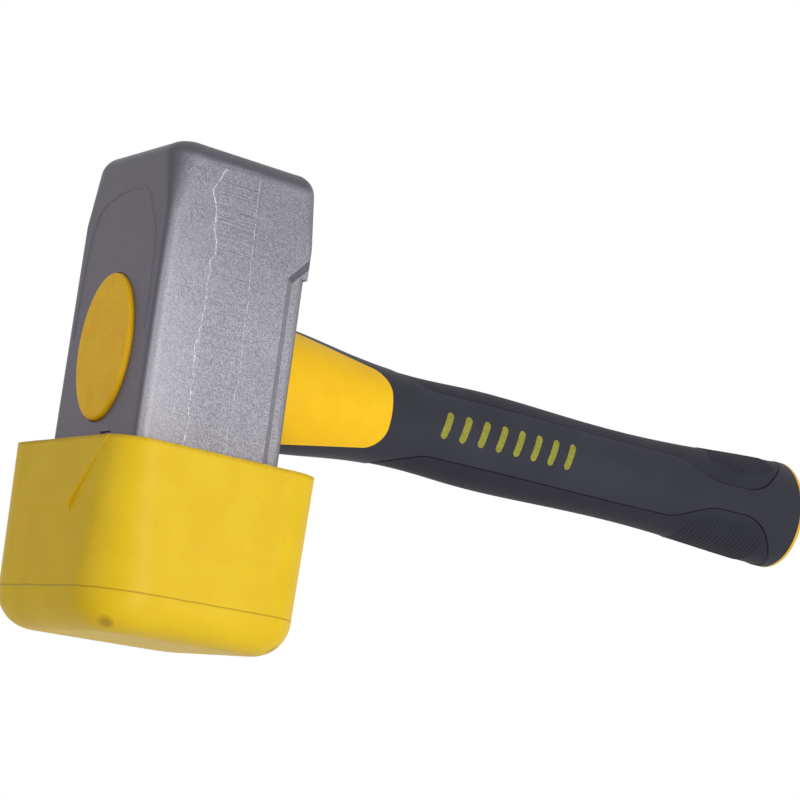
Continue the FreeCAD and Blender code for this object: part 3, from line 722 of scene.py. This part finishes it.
def rounded_off(points, times=3):
    """The line with its bends cut shorter and shorter, so that they end up round."""
    for _ in range(times):
        cut = [
            [tuple(a + share * (b - a) for a, b in zip(start, end)) for share in (0.25, 0.75)]
            for start, end in zip(points, points[1:])
        ]
        points = [points[0], *(point for pair in cut for point in pair), points[-1]]
    return points


ridge_radius, ridge_height = 3.0, 0.3
arch_x = front_x + ridge_radius - ridge_height
arch_line = [[(arch_x, y, z) for y, z in rounded_off(arch)]]
arch_values = {"Radius": ridge_radius * MM, "Radius Change": 0.03, "Waver": 0.2 * MM}
arch_values |= {"Wave Length": 9 * MM, "Spacing": 1.0 * MM, "Push": (0, 1, 0), "Seed": 5.0}
arch_values |= {"Finish": steel}
arch_item = line_object("front_border", arch_line)
settle(arch_item, ridge_tree, arch_values, "hammer")

# %% [markdown]
# ## The crust on the cap's rim
#
# Where the liquid rubber reached the top of the mould it left a thin, uneven crust. It follows the
# outer edge of the rim, a square with rounded corners.

# %% Points round a square with rounded corners
def round_square(half, corner, level, steps=8):
    """Points in order round a rounded square at one level, for a closed line."""
    points = []
    for quarter in range(4):
        turn = Matrix.Rotation(math.radians(90 * quarter), 3, "Z")
        for step in range(steps + 1):
            angle = math.radians(90 * step / steps)
            x = half - corner + corner * math.cos(angle)
            y = half - corner + corner * math.sin(angle)
            points.append(turn @ Vector((x, y, level)))
    return points


rim_half, rim_corner, rim_sunk = 32.05, 10.8, 0.22
rim_line = [round_square(rim_half, rim_corner, rim_top - rim_sunk)]
rim_values = {"Radius": 0.30 * MM, "Radius Change": 0.55, "Waver": 0.25 * MM}
rim_values |= {"Wave Length": 2.2 * MM, "Spacing": 0.6 * MM, "Push": (0, 0, 1), "Blunt Ends": 1.0}
rim_values |= {"Seed": 2.0, "Finish": urethane}
rim_item = line_object("rim_crust", rim_line, closed=True)
settle(rim_item, ridge_tree, rim_values, "cap")

# %% [markdown]
# ## Grip ribs
#
# The soft pads carry fine ribs where the palm closes round the butt. A rib is an arc across the
# pad, and all of them are alike, so Geometry Nodes copies one short line along the handle, throws
# its points onto the pad's own surface with Raycast, and sweeps a half-sunk circle along each.
# The middle ribs reach furthest round, and every rib fades into the pad at its ends.

# %% A tree for ribs that lie on a pad
rib_tree, given = start_tree(
    "grip_ribs",
    {
        "Pad": ("Object", None),
        "Count": ("Int", 16),
        "Start": ("Float", 198 * MM),
        "Pitch": ("Float", 1.8 * MM),
        "Axis Height": ("Float", eye_level),
        "Side": ("Float", 1.0),
        "Spread": ("Float", math.radians(50)),
        "Radius": ("Float", 0.50 * MM),
        "Sink": ("Float", 0.29 * MM),
        "Finish": ("Material", None),
    },
)
tree = rib_tree
print("inputs of the ribs:", [item.name for item in tree.interface.items_tree])

# %% Lay out one short line for each rib
spots = add_node(
    tree,
    "GeometryNodeMeshLine",
    {
        "Count": given["Count"],
        "Start Location": add_node(tree, "ShaderNodeCombineXYZ", {0: given["Start"]}).outputs[0],
        "Offset": add_node(tree, "ShaderNodeCombineXYZ", {0: given["Pitch"]}).outputs[0],
    },
).outputs[0]
count_index = add_node(tree, "GeometryNodeInputIndex").outputs[0]
share = calculate(tree, "DIVIDE", calculate(tree, "ADD", count_index, 0.5), given["Count"])
bulge = calculate(tree, "SINE", calculate(tree, "MULTIPLY", share, math.pi))
reach = calculate(tree, "MULTIPLY_ADD", bulge, 0.30, 0.70)
one_line = add_node(
    tree, "GeometryNodeCurvePrimitiveLine", {"Start": (0, -1, 0), "End": (0, 1, 0)}
).outputs[0]
one_line = add_node(tree, "GeometryNodeResampleCurve", {"Curve": one_line, "Count": 33}).outputs[0]
copies = add_node(
    tree,
    "GeometryNodeInstanceOnPoints",
    {
        "Points": spots,
        "Instance": one_line,
        "Scale": add_node(tree, "ShaderNodeCombineXYZ", {0: 1.0, 1: reach, 2: 1.0}).outputs[0],
    },
).outputs[0]
lines = add_node(tree, "GeometryNodeRealizeInstances", {"Geometry": copies}).outputs[0]
print("nodes so far:", len(tree.nodes))

# %% Throw the points onto the pad
# Each point's y is now its share of the spread, from -1 to 1, and its x is its place.
above_pad = 30 * MM
here = add_node(tree, "GeometryNodeInputPosition").outputs[0]
here = add_node(tree, "ShaderNodeSeparateXYZ", {0: here}).outputs
angle = calculate(tree, "MULTIPLY", here["Y"], given["Spread"])
out_y = calculate(tree, "SINE", angle)
out_z = calculate(tree, "MULTIPLY", calculate(tree, "COSINE", angle), given["Side"])
outward = add_node(tree, "ShaderNodeCombineXYZ", {1: out_y, 2: out_z}).outputs[0]
on_axis = add_node(tree, "ShaderNodeCombineXYZ", {0: here["X"], 2: given["Axis Height"]}).outputs[0]
begin = add_node(
    tree,
    "ShaderNodeVectorMath",
    {0: outward, 1: (above_pad, above_pad, above_pad), 2: on_axis},
    operation="MULTIPLY_ADD",
).outputs[0]
inward = add_node(
    tree, "ShaderNodeVectorMath", {0: outward, "Scale": -1.0}, operation="SCALE"
).outputs[0]
pad_skin = add_node(tree, "GeometryNodeObjectInfo", {"Object": given["Pad"]}).outputs["Geometry"]
hit = add_node(
    tree,
    "GeometryNodeRaycast",
    {
        "Target Geometry": pad_skin,
        "Source Position": begin,
        "Ray Direction": inward,
        "Ray Length": above_pad,
    },
).outputs
depth = calculate(tree, "MULTIPLY", given["Sink"], -1.0)
sunk = add_node(
    tree, "ShaderNodeVectorMath", {0: hit["Hit Normal"], "Scale": depth}, operation="SCALE"
).outputs[0]
landing = add_node(
    tree, "ShaderNodeVectorMath", {0: hit["Hit Position"], 1: sunk}, operation="ADD"
).outputs[0]
laid = add_node(
    tree, "GeometryNodeSetPosition", {"Geometry": lines, "Position": landing}
).outputs[0]
print("nodes so far:", len(tree.nodes))

# %% Fade the ribs at their ends and sweep them
along = add_node(tree, "GeometryNodeSplineParameter").outputs["Factor"]
to_end = calculate(tree, "MINIMUM", along, calculate(tree, "SUBTRACT", 1.0, along))
fade = between(tree, to_end, 0.0, 0.14, 0.45, 1.0)
end_with_rope(tree, laid, fade, given["Radius"], given["Finish"])
print("rib tree nodes:", len(tree.nodes))

# %% Ribs on both pads
rib_values = {"Pad": nodes["upper_grip_pad"], "Count": 16, "Start": 198 * MM, "Pitch": 1.8 * MM}
rib_values |= {"Axis Height": eye_level, "Side": 1.0, "Spread": math.radians(50), "Finish": pad}
settle(line_object("upper_ribs", []), rib_tree, rib_values, "hammer")
rib_values |= {"Pad": nodes["lower_grip_pad"], "Count": 19, "Start": 190 * MM, "Side": -1.0}
rib_values |= {"Spread": math.radians(60)}
settle(line_object("lower_ribs", []), rib_tree, rib_values, "hammer")

# %% [markdown]
# ## The last step
#
# The picture is shown with the standard view transform.

bpy.context.scene.view_settings.view_transform = "Standard"
